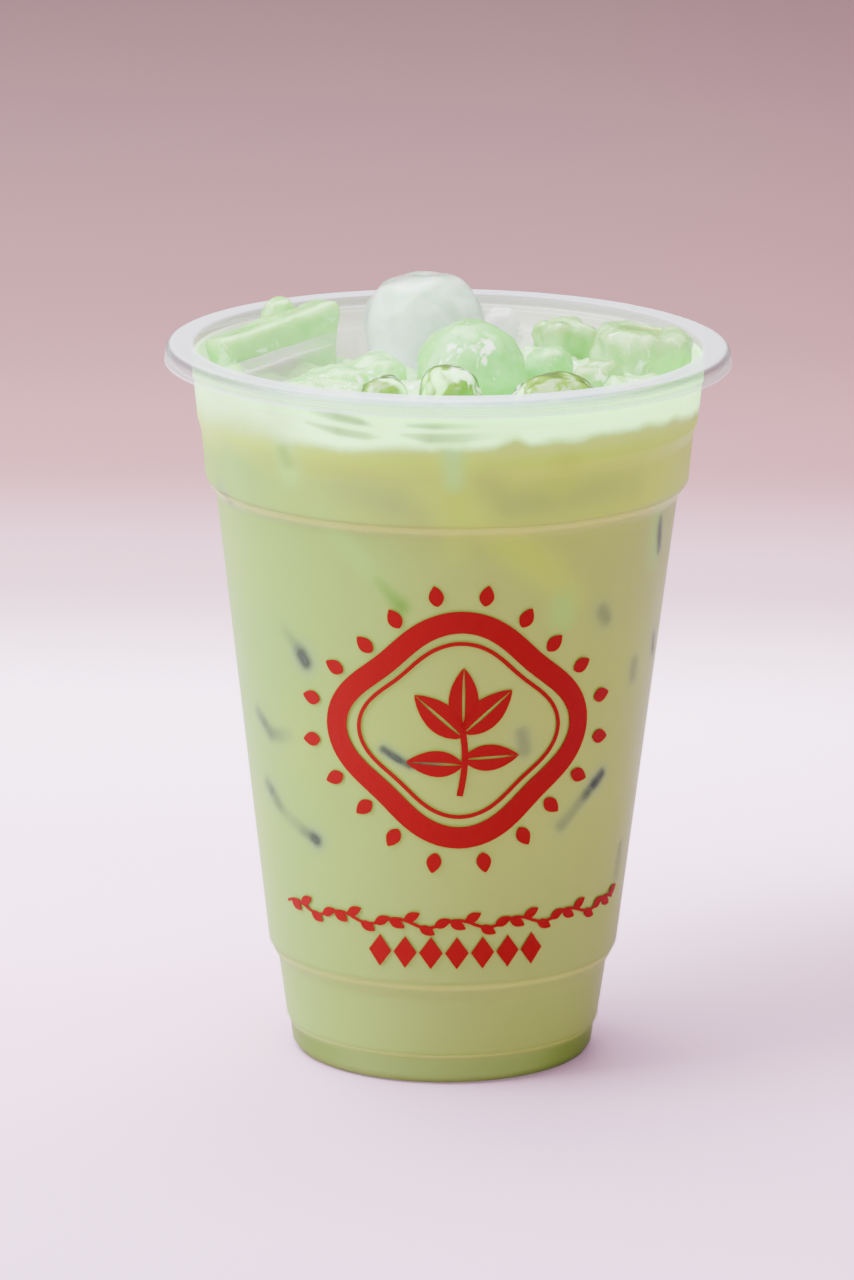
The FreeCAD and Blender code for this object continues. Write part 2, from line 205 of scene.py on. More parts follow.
# A trace is something that shows through the drink where it touches the wall. It follows its points along
# the wall: angle from the front in degrees, height in mm, half breadth in mm and how strongly it shows.
traces = [
    ("yellow", [(8, 99, 5, .6), (16, 96, 6, 1), (26, 91, 6, .9), (34, 86, 5, .5)]),
    ("yellow", [(28, 109, 5, .9), (27, 106, 5, .6)]),
    ("yellow", [(2, 106, 4.5, 1), (3, 100, 5, .8), (3, 96, 5, .5)]),
    ("yellow", [(-15, 110.3, 3, .5), (-5, 110.8, 3, .5)]),
    ("yellow", [(-48, 107, 4, .4), (-30, 108.5, 4, .7), (-15, 109.5, 3, .5)]),
    ("dusk", [(-24, 105, 6, .5), (-12, 103, 6, .9), (-6, 101, 5, .6)]),
    ("dusk", [(9, 107, 5, .6), (14, 103, 6, .9), (38, 104, 6, .7), (48, 104, 6, .5)]),
    ("pale", [(-31, 100, 3.5, .6), (-28.8, 98.1, 3.2, .9), (-21.6, 92.9, 2.8, .9), (-13.5, 87, 2.2, .9)]),
    ("green", [(-17, 89.5, 1.8, .5), (-13.6, 87.0, 2.2, .8), (-11.5, 85.6, 2.5, 1), (-11.0, 85.2, 2.4, 1)]),
    ("mint", [(1.2, 113.5, 2.9, 1), (1.3, 110.5, 2.9, .95), (1.6, 107.4, 3.1, .8)]),
    ("mint", [(-39.4, 110.6, 4.2, .8), (-38.8, 106.8, 4.4, .6)]),
    ("green", [(-39.8, 110.2, 2.2, .55), (-39.0, 108.6, 2.4, .5)]),
    ("pale", [(31.1, 84.6, 4.4, 1), (31.1, 82.8, 4.4, 1)]),
    ("pale", [(-62, 107, 4, .7), (-58, 101, 5, .7)]),
    ("pale", [(64.5, 97, 4.5, 1), (66.0, 89, 4.5, .9)]),
    ("jelly", [(-68.0, 100.2, 1.6, .7), (-65.5, 98.6, 1.7, .7)]),
    ("jelly", [(66.8, 95.4, 1.5, .5), (67.6, 92.6, 1.6, .8), (68.6, 90.2, 1.5, .6)]),
    ("jelly", [(44.2, 82.3, 2.4, .35), (45.4, 81.2, 2.4, .35)]),
    ("jelly", [(-46.4, 78.3, 1.7, .15), (-43.5, 76.6, 1.8, .3), (-41.0, 74.8, 2.3, .9),
               (-39.7, 73.6, 2.2, .9)]),
    ("jelly", [(75.0, 73.8, 1.9, .5), (76.0, 71.6, 1.9, .5)]),
    ("jelly", [(61.5, 71.2, 2.2, .3), (61.5, 69.2, 2.2, .3)]),
    ("jelly", [(-64.0, 61.8, 1.8, .4), (-60.5, 60.3, 1.9, .6), (-57.5, 58.9, 2.0, .35)]),
    ("jelly", [(-57.5, 58.9, 2.0, .35), (-53.5, 59.2, 2.1, .35), (-49.0, 59.8, 2.0, .15)]),
    ("jelly", [(-62.8, 49.5, 1.9, .4), (-60.2, 48.3, 2.0, .6), (-56.2, 46.2, 1.8, .25)]),
    ("jelly", [(-57.5, 46.6, 1.8, .25), (-52.0, 44.8, 1.8, .2), (-46.5, 43.4, 1.8, .3)]),
    ("jelly", [(-45.5, 43.2, 1.7, .35), (-42.0, 42.6, 1.8, .9), (-40.6, 42.2, 1.9, .9)]),
    ("jelly", [(51.0, 53.2, 1.6, .8), (48.3, 51.9, 1.8, .95), (45.0, 50.2, 1.6, .5)]),
    ("jelly", [(45.0, 50.2, 1.6, .45), (41.0, 48.0, 1.6, .3), (36.4, 45.6, 1.8, .35)]),
    ("jelly", [(-17.0, 60.2, 1.2, .8), (-13.0, 58.7, 1.2, .9), (-9.5, 57.6, 1.1, .6)]),
    ("jelly", [(-9.5, 57.8, 1.2, .6), (-5.0, 57.8, 1.1, .5), (-1.0, 58.5, 1.1, .3)]),
    ("jelly", [(21.5, 62.8, 2.0, .35), (22.5, 60.0, 2.0, .35)]),
    ("jelly", [(68.8, 38.0, 1.8, .25), (68.8, 33.0, 1.8, .25)]),
    ("clear", [(-31, 117.7, .6, .5), (-25, 117.5, 1.5, 1), (-19, 116.9, 1.2, 1), (-16, 116.5, .5, .6)]),
    ("clear", [(-33, 115.9, .4, .6), (-25, 115.0, 1.4, 1), (-18, 114.6, 1.3, .9), (-15, 114.6, .5, .5)]),
    ("clear", [(-9, 116.9, .6, .8), (-3, 116.8, 1.1, 1), (4, 116.9, 1.0, .7), (14, 117.1, .7, .3)]),
    ("clear", [(-10, 115.2, .5, .7), (-4, 114.8, 1.7, 1), (3, 114.9, 1.6, .9), (16, 115.6, 1.0, .3)]),
    ("clear", [(14, 116.6, 1.1, .25), (22, 116.4, 1.2, .3), (30, 116.2, 1.1, .2)]),
    ("clear", [(22, 114.4, 1.2, .25), (28, 114.6, 1.4, .3), (34, 114.5, 1.1, .2)]),
]

# A strip of jelly has a shade round it, that much wider than the strip. Core is the share of its half
# breadth over which a trace keeps its full strength, and traces are painted on what is near the wall.
traceLook = {
    "kinds": ("yellow", "dusk", "pale", "mint", "green", "shade", "clear"),
    "shadeWider": 1.9,
    "core": {"clear": 0.25},
    "nearWall": 1 * mm,
}

# The lower edge of the froth: angle from the front in degrees and height in mm.
frothEdge = [(-180, 109.5), (-110, 109.0), (-76, 110.0), (-58, 111.6), (-45, 112.2), (-35, 112.3),
             (-26, 112.3), (-10, 113.1), (-3, 113.2), (8, 113.4), (15.5, 114.6), (19, 113.6), (28, 113.9),
             (36, 114.2), (49, 114.3), (56, 113.8), (62, 113.9), (70, 112.9), (110, 110.0), (180, 109.5)]


def wallPath(points, widen=1.0):
    path = []
    for angle, height, half, strength in points:
        z = height * mm
        path.append((Vector((math.radians(angle) * wallRadius(z), z)), half * widen * mm, strength))
    return path


def pathShare(path, spot, core):  # strength on the path, fading out to nothing at its half breadth
    best = 0.0
    for (start, half0, strength0), (end, half1, strength1) in zip(path, path[1:]):
        way = end - start
        part = min(max((spot - start).dot(way) / way.length_squared, 0.0), 1.0)
        half = half0 + (half1 - half0) * part
        strength = strength0 + (strength1 - strength0) * part
        away = (spot - start - way * part).length / half
        best = max(best, strength * (1 - ease((away - core) / (1 - core))))
    return best


def paintTraces(bm):  # fills one layer of numbers for each kind of trace, and one for the froth's edge
    layers = {kind: bm.verts.layers.float.new(kind) for kind in traceLook["kinds"]}
    above = bm.verts.layers.float.new("above")
    spots = []
    for vert in bm.verts:
        z = vert.co.z
        angle = math.atan2(vert.co.x, -vert.co.y)
        vert[above] = z / mm - between(frothEdge, math.degrees(angle))
        radius = wallRadius(max(z, 1 * mm))
        if vert.co.xy.length > radius - traceLook["nearWall"]:
            spots.append((vert, Vector((angle * radius, z))))
    for kind, points in traces:
        path = wallPath(points, traceLook["shadeWider"] if kind == "jelly" else 1.0)
        layer = layers["shade" if kind == "jelly" else kind]
        core = traceLook["core"].get(kind, 0.0)
        margin = max(half for _, half, _ in path)
        lows = [min(spot[i] for spot, _, _ in path) - margin for i in (0, 1)]
        highs = [max(spot[i] for spot, _, _ in path) + margin for i in (0, 1)]
        for vert, spot in spots:
            if lows[0] < spot.x < highs[0] and lows[1] < spot.y < highs[1]:
                vert[layer] = max(vert[layer], pathShare(path, spot, core))


# Channel fills the ring of the foot: where the wall's inside is read, how far past it and how far over the
# floor. FootEdge is the outer corner there: where the wall's outside is read, and how far in from it.
drinkLook = {
    # Pale and olive are painted light and shade: the drink is painted paler on the left, where the light
    # comes from, and more olive on the right, in shade.
    "pale": (0.180, 0.382, 0.052),
    "olive": (0.224, 0.320, 0.050),
    "paleUntil": -35 * mm,
    "oliveFrom": 8 * mm,
    "yellow": (0.285, 0.44, 0.018),
    "cloud": {"scale": 32, "detail": 1.0, "low": 0.48, "high": 0.75},
    "cloudShare": 0.22,
    # Low down, the shaded right side is painted darker towards the bottom in the dusk tone, a painted shade.
    "dusk": (0.160, 0.232, 0.060),
    "duskHeights": (50 * mm, 15 * mm),
    "duskShare": 0.55,
    "band": (0.345, 0.53, 0.021),
    "bandHeights": (98 * mm, 101 * mm),
    "bandShare": 0.8,
    "line": (0.36, 0.62, 0.016),
    "lineUnderFroth": (-6.5, -0.6),
    "lineShare": 0.9,
    "paleIce": (0.205, 0.43, 0.056),
    "mint": (0.26, 0.62, 0.085),
    "green": (0.088, 0.225, 0.022),
    "shade": (0.13, 0.225, 0.115),
    # The foot is darker, partly from its thick plastic and partly painted shade by the floor, and it is
    # painted darker still towards its left and right sides, a painted shade.
    "footMiddle": (0.150, 0.243, 0.052),
    "footShadedSide": (0.080, 0.150, 0.012),
    "footSides": (12 * mm, 25 * mm),
    "footHeights": (3.8 * mm, 5.6 * mm),
    "footShare": 0.9,
    "traceTones": [("dusk", "dusk", 0.7), ("yellow", "yellow", 0.75), ("pale", "paleIce", 0.8),
                   ("mint", "mint", 1.0), ("green", "green", 1.0), ("shade", "shade", 0.75)],
    "rough": 0.45,
    "gloss": 0.06,
    "floor": 0.3 * mm,
    "deep": 0.25 * mm,
    "underBase": 0.7 * mm,
    "baseDeep": 0.2 * mm,
    "channel": [(1.2 * mm, 0.3 * mm, 0.3 * mm), (0.8 * mm, 0.6 * mm, 0)],
    "footEdge": (1.2 * mm, 0.9 * mm),
    "rows": 220,
    "steps": 288,
}


def drinkColour(s):
    look = drinkLook
    # Painted light and shade: paler on the left, more olive on the right.
    side = s.span(s.x, look["paleUntil"], look["oliveFrom"], kind="LINEAR")
    colour = s.mix(side, look["pale"], look["olive"])
    cloud = s.patches(**look["cloud"])
    colour = s.mix(s.times(cloud, look["cloudShare"]), colour, look["yellow"])
    # Painted shade: the right side darker towards the bottom.
    low = s.span(s.z, *look["duskHeights"], 0.0, look["duskShare"])
    colour = s.mix(s.times(low, side), colour, look["dusk"])
    band = s.span(s.z, *look["bandHeights"])
    colour = s.mix(s.times(band, side, look["bandShare"]), colour, look["band"])
    line = s.span(s.attribute("above"), *look["lineUnderFroth"])
    colour = s.mix(s.times(line, look["lineShare"]), colour, look["line"])
    # Painted shade: the foot darker towards its left and right sides.
    outward = s.span(s.math("ABSOLUTE", s.x), *look["footSides"])
    footColour = s.mix(outward, look["footMiddle"], look["footShadedSide"])
    foot = s.span(s.z, *look["footHeights"], 1.0, 0.0)
    colour = s.mix(s.times(foot, look["footShare"]), colour, footColour)
    for kind, tone, most in look["traceTones"]:
        share = s.times(s.span(s.attribute(kind), 0.0, 1.0, kind="LINEAR"), most)
        colour = s.mix(share, colour, look[tone])
    return colour


def drinkMaterial():
    s = Shader("milkTea")
    return s.principled({"Base Color": drinkColour(s), "Roughness": drinkLook["rough"],
                         "Specular IOR Level": drinkLook["gloss"]})


def baseHeight():  # the middle of the cup's raised base
    under = cupTree.ray_cast(Vector((mm, mm, -mm)), Vector((0, 0, 1)))[0].z
    over = cupTree.ray_cast(Vector((mm, mm, 50 * mm)), Vector((0, 0, -1)))[0].z
    return (under + over) / 2


def makeDrink():  # it reaches into the wall, and down round the raised base into the ring of the foot
    look = drinkLook
    base = baseHeight()
    profile = [(0, base), (wallRadius(base - look["underBase"], outside=False) + look["baseDeep"], base)]
    for z, out, up in look["channel"]:
        profile.append((wallRadius(z, outside=False) + out, look["floor"] + up))
    edgeZ, edgeDeep = look["footEdge"]
    profile.append((wallRadius(edgeZ) - edgeDeep, look["floor"]))
    step = (level - look["floor"]) / look["rows"]
    for i in range(2, look["rows"] + 1):
        z = look["floor"] + step * i
        profile.append((wallRadius(z) - look["deep"], z))
    profile.append((0, level))
    bm = spinProfile(profile, look["steps"])
    paintTraces(bm)
    piece = newPiece("milkTeaFill", bm, drinkMaterial())
    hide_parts("drink")


makeDrink()
print("drink made")


# The milky film and froth that the drink leaves on the wall round its level. The froth has a crisp edge in
# front and a soft one at the sides, both in mm from the line that frothEdge gives.
filmLook = {
    "low": 99.4 * mm,
    "high": 120.2 * mm,
    "underOutside": 0.12 * mm,
    "pastInside": 0.5 * mm,
    "thick": 0.75 * mm,
    "rows": 64,
    "steps": 288,
    "froth": (0.56, 0.97, 0.36),
    "frothWarm": (0.58, 0.93, 0.22),
    "warm": {"scale": 110, "detail": 2.0, "stretch": (1, 1, 2.2), "low": 0.40, "high": 0.68},
    "clear": (0.22, 0.42, 0.085),
    "clearShare": 0.95,
    "haze": (0.80, 0.80, 0.78),
    # HazeGlow and glow are painted light: the film at the back glows faintly, and the froth shines as if
    # light soaked through it, unevenly and weaker on the left.
    "hazeGlow": (0.17, 0.155, 0.165),
    "glow": (0.31, 1.0, 0.20),
    "glowStrength": 3.0,
    "glowPower": 1.6,
    "glowPatches": {"scale": 75, "detail": 3.0, "stretch": (1, 1, 2), "low": 0.30, "high": 0.60,
                    "toLow": 0.6},
    "glowAcross": (-36 * mm, -8 * mm, 0.75, 1.9),
    "clearDims": 0.88,
    "wobble": {"scale": 160, "detail": 2.0},
    "wobbleHigh": 1.6,
    "crispEdge": (-1.4, 1.5),
    "softEdge": (-2.5, 6.5),
    "softLeft": (-18 * mm, -34 * mm),
    "softRight": (38 * mm, 46 * mm),
    "softRightShare": 0.7,
    "rough": 0.5,
    "gloss": 0.1,
    "backFrom": 70,
    "backTo": 135,
    "backCover": 0.4,
    "thinFrom": 116.0,
    "thinOver": 3.5,
    "thinShare": 0.35,
}


def filmMaterial():
    look = filmLook
    s = Shader("milkyFilm")
    wobble = s.math("SUBTRACT", s.noise(**look["wobble"]), 0.5)
    above = s.math("ADD", s.attribute("above"), s.times(wobble, look["wobbleHigh"]))
    leftward = s.span(s.x, *look["softLeft"])
    soft = s.math("MAXIMUM", leftward, s.span(s.x, *look["softRight"], 0.0, look["softRightShare"]))
    crispFroth = s.span(above, *look["crispEdge"])
    softFroth = s.span(above, *look["softEdge"])
    inFroth = s.span(soft, 0.0, 1.0, crispFroth, softFroth, kind="LINEAR")
    front = s.attribute("front")
    warm = s.patches(**look["warm"])
    froth = s.mix(warm, look["froth"], look["frothWarm"])
    clear = s.attribute("clear")
    froth = s.mix(s.times(clear, look["clearShare"]), froth, look["clear"])
    froth = s.mix(front, look["haze"], froth)
    colour = s.mix(inFroth, drinkColour(s), froth)
    # Painted light: the froth glows, unevenly and weaker on the left, and the film at the back glows
    # faintly.
    uneven = s.patches(**look["glowPatches"])
    bare = s.math("SUBTRACT", 1.0, s.times(clear, look["clearDims"]))
    brighter = s.span(s.x, *look["glowAcross"])
    glow = s.times(s.math("POWER", inFroth, look["glowPower"]), front, bare, uneven, brighter)
    hazeShare = s.times(inFroth, s.math("SUBTRACT", 1.0, front))
    hazeGlow = s.mix(hazeShare, (0, 0, 0), look["hazeGlow"])
    return s.principled({"Base Color": colour, "Roughness": look["rough"],
                         "Specular IOR Level": look["gloss"], "Alpha": s.attribute("cover"),
                         "Emission Color": s.mix(glow, hazeGlow, look["glow"]),
                         "Emission Strength": look["glowStrength"]})


def makeFilm():
    look = filmLook
    rows = look["rows"]
    heights = [look["low"] + (look["high"] - look["low"]) * i / rows for i in range(rows + 1)]
    profile = []
    for z in heights:
        radius = min(wallRadius(z), wallRadius(z, outside=False) + look["pastInside"])
        profile.append((radius - look["underOutside"], z))
    profile += [(radius - look["thick"], z) for radius, z in reversed(profile)]
    bm = spinProfile(profile, look["steps"], closed=True)
    paintTraces(bm)
    cover = bm.verts.layers.float.new("cover")
    front = bm.verts.layers.float.new("front")
    for vert in bm.verts:
        angle = math.degrees(math.atan2(vert.co.x, -vert.co.y))
        z = vert.co.z / mm
        inFront = 1 - ease((abs(angle) - look["backFrom"]) / (look["backTo"] - look["backFrom"]))
        share = look["backCover"] + (1 - look["backCover"]) * inFront
        thin = 1 - look["thinShare"] * ease((z - look["thinFrom"]) / look["thinOver"])
        vert[front] = inFront
        vert[cover] = share * thin if z > level / mm else 1.0
    newPiece("milkyFilm", bm, filmMaterial())


makeFilm()
print("film made")


# The strips of jelly touch the wall from inside the drink.
jellyLook = {
    "middle": (0.032, 0.050, 0.036),
    "edge": (0.10, 0.16, 0.095),
    "middleSpan": (0.2, 0.9),
    "core": 0.1,
    "grain": {"scale": 500, "detail": 2.0},
    "grainShare": 0.35,
    "rough": 0.5,
    "gloss": 0.1,
    "lift": -0.13 * mm,
    "thick": 0.6 * mm,
    "mesh": 0.3 * mm,
}


def jellyMaterial():
    look = jellyLook
    s = Shader("darkJelly")
    cover = s.attribute("cover")
    grain = s.math("SUBTRACT", s.noise(**look["grain"]), 0.5)
    cover = s.math("ADD", cover, s.times(grain, s.times(cover, look["grainShare"])))
    colour = s.mix(s.span(cover, *look["middleSpan"]), look["edge"], look["middle"])
    return s.principled({"Base Color": colour, "Roughness": look["rough"],
                         "Specular IOR Level": look["gloss"], "Alpha": cover})


def makeJelly(name, material, points):
    look = jellyLook
    path = wallPath(points)
    margin = max(half for _, half, _ in path)
    low = Vector([min(spot[i] for spot, _, _ in path) - margin for i in (0, 1)])
    high = Vector([max(spot[i] for spot, _, _ in path) + margin for i in (0, 1)])
    bm = bmesh.new()
    columns, rows = [max(4, round((high[i] - low[i]) / look["mesh"])) for i in (0, 1)]
    bmesh.ops.create_grid(bm, x_segments=columns, y_segments=rows, size=1.0)
    cover = bm.verts.layers.float.new("cover")
    for vert in bm.verts:
        spot = Vector([low[i] + (vert.co[i] + 1) / 2 * (high[i] - low[i]) for i in (0, 1)])
        vert[cover] = pathShare(path, spot, look["core"])
        vert.co = onWall(spot.x / wallRadius(spot.y), spot.y, look["lift"])
    piece = newPiece(name, bm, material)
    solid = piece.modifiers.new("solid", "SOLIDIFY")
    solid.thickness = look["thick"]
    solid.offset = -1.0


jellyPaths = [points for kind, points in traces if kind == "jelly"]
jellyShader = jellyMaterial()
for number, points in enumerate(jellyPaths, start=1):
    makeJelly("jellyStrip" + str(number), jellyShader, points)
print("jelly strips made:", len(jellyPaths))


# The slush is the small ice between the large pieces. Its places and heights are in mm: waves are breadth,
# rise and place in the noise, and mounds are x, y, breadth and rise.
slushLook = {
    "level": 115.0,
    "floor": 109.6,
    "lowest": 110.7,
    "top": 121.0,
    "inWall": 0.7,
    "waves": [(6.5, 2.4, 3.1), (2.6, 1.1, 7.7)],
    "mounds": [(-20, -27, 7, 5.0), (29, -14, 6, 5.0), (-4, -19, 6, 3.0), (20, 4, 8, 3.5), (-35, -4, 5, 3.0),
               (-13, -3, 6, 4.5), (12, 15, 6, 2.5), (34, 6, 5, 3.0)],
    "backFrom": 15,
    "backOver": 9,
    "backDrop": 4.5,
    "rings": 56,
    "steps": 160,
    "mint": (0.24, 0.62, 0.12),
    "white": (0.32, 0.62, 0.22),
    # Flecks are painted glints, partly white bits of ice, and the glows are painted light: a faint green
    # glow all over and a stronger one on the flecks.
    "fleck": (0.8, 0.92, 0.8),
    "glow": (0.0, 0.10, 0.0),
    "fleckGlow": (0.3, 0.4, 0.3),
    "whitePatches": {"scale": 130, "detail": 3.0, "low": 0.40, "high": 0.62},
    "flecks": {"scale": 380, "detail": 3.0, "distortion": 2.0, "low": 0.60, "high": 0.68},
    "relief": {"scale": 330, "detail": 3.0},
    "reliefDeep": 0.9 * mm,
    "reliefShare": 0.9,
    "rough": 0.12,
    "gloss": 0.8,
    "ior": 1.31,
}


def slushHeight(x, y):
    look = slushLook
    height = look["level"]
    for breadth, rise, place in look["waves"]:
        height += rise * noise.noise(Vector((x / breadth, y / breadth, place)))
    for mx, my, breadth, rise in look["mounds"]:
        height += rise * math.exp(-((x - mx) ** 2 + (y - my) ** 2) / (2 * breadth ** 2))
    height -= look["backDrop"] * ease((y - look["backFrom"]) / look["backOver"])
    return min(max(height, look["lowest"]), look["top"])


def slushMaterial():
    look = slushLook
    s = Shader("slush")
    colour = s.mix(s.patches(**look["whitePatches"]), look["mint"], look["white"])
    # Painted glints on the flecks, with painted light glowing from the flecks and faintly from all the
    # slush.
    fleck = s.patches(**look["flecks"])
    relief = s.bump(s.noise(**look["relief"]), look["reliefDeep"], look["reliefShare"])
    return s.principled({"Base Color": s.mix(fleck, colour, look["fleck"]), "Roughness": look["rough"],
                         "Normal": relief, "IOR": look["ior"], "Specular IOR Level": look["gloss"],
                         "Emission Color": s.mix(fleck, look["glow"], look["fleckGlow"]),
                         "Emission Strength": 1.0})


def makeSlush():
    look = slushLook
    rings = look["rings"]
    reach = wallRadius(look["level"] * mm) / mm - look["inWall"]
    profile = [(0, look["floor"] * mm), (reach * mm, look["floor"] * mm)]
    profile += [(reach * (1 - i / rings) * mm, look["level"] * mm) for i in range(rings + 1)]
    bm = spinProfile(profile, look["steps"])
    for vert in bm.verts:
        if vert.co.z > (look["floor"] + 1) * mm:
            vert.co.z = slushHeight(vert.co.x / mm, vert.co.y / mm) * mm
    piece = newPiece("slushBetweenIce", bm, slushMaterial())


makeSlush()
print("slush made")


# Colours one and two are mixed as a cloud, rim is the tone at the outline, a painted refraction and
# reflection, through is how far light soaks in, clear is how far it passes, and cover is how solid the
# middle and the outline are. Glow is painted light, the ice shining as if lit from within. Patch is a tone
# in spots that don't glow, low is the tone further down with lowGlow its painted light, and fadesTo is where
# the piece ends in a haze.
iceKinds = {
    "milky": {"one": (0.33, 0.52, 0.36), "two": (0.50, 0.64, 0.56), "rim": (0.36, 0.48, 0.42),
              "rimShare": 0.5, "rough": 0.25, "through": 0.8, "clear": 0.0, "bump": 0.35, "fleck": 0.0,
              "cover": (1.0, 0.25), "glow": (0.10, 0.10, 0.13),
              "low": (0.62, 0.64, 0.76), "lowGlow": (0.20, 0.19, 0.28), "lowHeights": (128 * mm, 116 * mm)},
    # The haze piece at the back is painted whitish, a painted highlight, and its flecks and glow are painted
    # light.
    "haze": {"one": (0.50, 0.52, 0.54), "two": (0.62, 0.63, 0.66), "rim": (0.52, 0.52, 0.54),
             "rimShare": 0.5, "rough": 0.10, "through": 0.3, "clear": 0.2, "bump": 0.7, "fleck": 1.0,
             "cover": (0.65, 0.05), "glow": (0.3, 0.26, 0.3)},
    "green": {"one": (0.18, 0.58, 0.11), "two": (0.28, 0.70, 0.23), "rim": (0.17, 0.53, 0.06),
              "rimShare": 0.7, "rough": 0.07, "through": 0.6, "clear": 0.2, "bump": 0.6, "fleck": 1.0,
              "cover": (1.0, 0.7), "glow": (0.0, 0.15, 0.0)},
    "slab": {"one": (0.25, 0.60, 0.145), "two": (0.31, 0.66, 0.20), "rim": (0.24, 0.59, 0.09),
             "rimShare": 0.5, "rough": 0.16, "through": 0.7, "clear": 0.1, "bump": 0.6, "fleck": 0.35,
             "cover": (1.0, 0.45), "glow": (0.01, 0.13, 0.01)},
    "lying": {"one": (0.24, 0.70, 0.13), "two": (0.36, 0.80, 0.26), "rim": (0.32, 0.74, 0.20),
              "rimShare": 0.6, "rough": 0.08, "through": 0.5, "clear": 0.2, "bump": 0.8, "fleck": 1.0,
              "cover": (1.0, 0.5), "glow": (0.0, 0.22, 0.0)},
    "pale": {"one": (0.25, 0.51, 0.14), "two": (0.33, 0.57, 0.22), "rim": (0.20, 0.47, 0.06),
             "rimShare": 0.8, "rough": 0.09, "through": 0.7, "clear": 0.15, "bump": 0.6, "fleck": 0.7,
             "cover": (0.95, 0.45), "glow": (0.01, 0.12, 0.0)},
    "clear": {"one": (0.36, 0.84, 0.17), "two": (0.54, 0.98, 0.36), "rim": (0.04, 0.085, 0.005),
              "rimShare": 1.0, "rough": 0.04, "through": 0.0, "clear": 0.12, "bump": 0.5, "fleck": 0.7,
              "cover": (1.0, 1.0), "glow": (0.14, 0.95, 0.16), "patch": (0.13, 0.27, 0.014),
              "rimSpan": (0.50, 0.74)},
    # The flat piece is painted the grey pink of the backdrop that its glossy face reflects, a painted
    # reflection, and its glow is painted light.
    "flat": {"one": (0.36, 0.31, 0.33), "two": (0.40, 0.36, 0.38), "rim": (0.40, 0.39, 0.40),
             "rimShare": 0.5, "rough": 0.08, "through": 0.2, "clear": 0.3, "bump": 0.08, "fleck": 0.0,
             "cover": (0.65, 0.35), "glow": (0.27, 0.19, 0.22), "fadesTo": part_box("ice_flat")[1].x},
}

# Each piece of ice has a kind, how far melting has pushed its skin in and out in mm, and the breadth of
# those swellings in mm.
icePieces = {
    "ice_tall": ("milky", 1.3, 11),
    "ice_dome": ("green", 0.8, 7),
    "ice_middle": ("green", 1.1, 5),
    "ice_back": ("haze", 1.0, 4),
    "ice_front": ("clear", 0.5, 5),
    "ice_front_left": ("clear", 0.9, 4),
    "ice_front_right": ("clear", 1.0, 7),
    "ice_side_right": ("pale", 1.3, 4),
    "ice_back_left": ("slab", 0.9, 4),
    "ice_tube": ("pale", 1.3, 6),
    "ice_slab": ("slab", 0.55, 6),
    "ice_flat": ("flat", 0.25, 9),
    "ice_lying": ("lying", 1.3, 5),
    "ice_chip": ("pale", 1.6, 5),
}

# What all the ice has in common.
iceLook = {
    "cloud": {"scale": 140, "detail": 3.0, "distortion": 0.8, "low": 0.36, "high": 0.64},
    "patches": {"scale": 110, "detail": 1.5, "distortion": 1.6, "low": 0.46, "high": 0.55},
    # The flecks are white cracks in the ice and painted glints at once, and fleckGlow is painted light.
    "cracksAndGlints": {"scale": 190, "detail": 4.0, "roughness": 0.65, "distortion": 0.6, "low": 0.57, "high": 0.65},
    "crackAndGlintParts": {"scale": 80, "detail": 1.0, "low": 0.46, "high": 0.60},
    "rimSpan": (0.35, 1.0),
    "coverSpan": (0.3, 1.0),
    "fleck": (0.85, 0.97, 0.85),
    "fleckGlow": (0.7, 0.85, 0.7),
    "fadeLong": 12 * mm,
    "fadeEnd": 1 * mm,
    "fadeCover": 0.1,
    "relief": {"scale": 240, "detail": 2.0},
    "fineRelief": {"scale": 800, "detail": 1.0},
    "fineShare": 0.3,
    "reliefDeep": 0.8 * mm,
    "soakDeep": 5 * mm,
    "gloss": 0.5,
    "ior": 1.31,
    "mesh": 0.6 * mm,
    "smoothings": 2,
    "smallSwells": {"share": 0.35, "finer": 2.9},
}


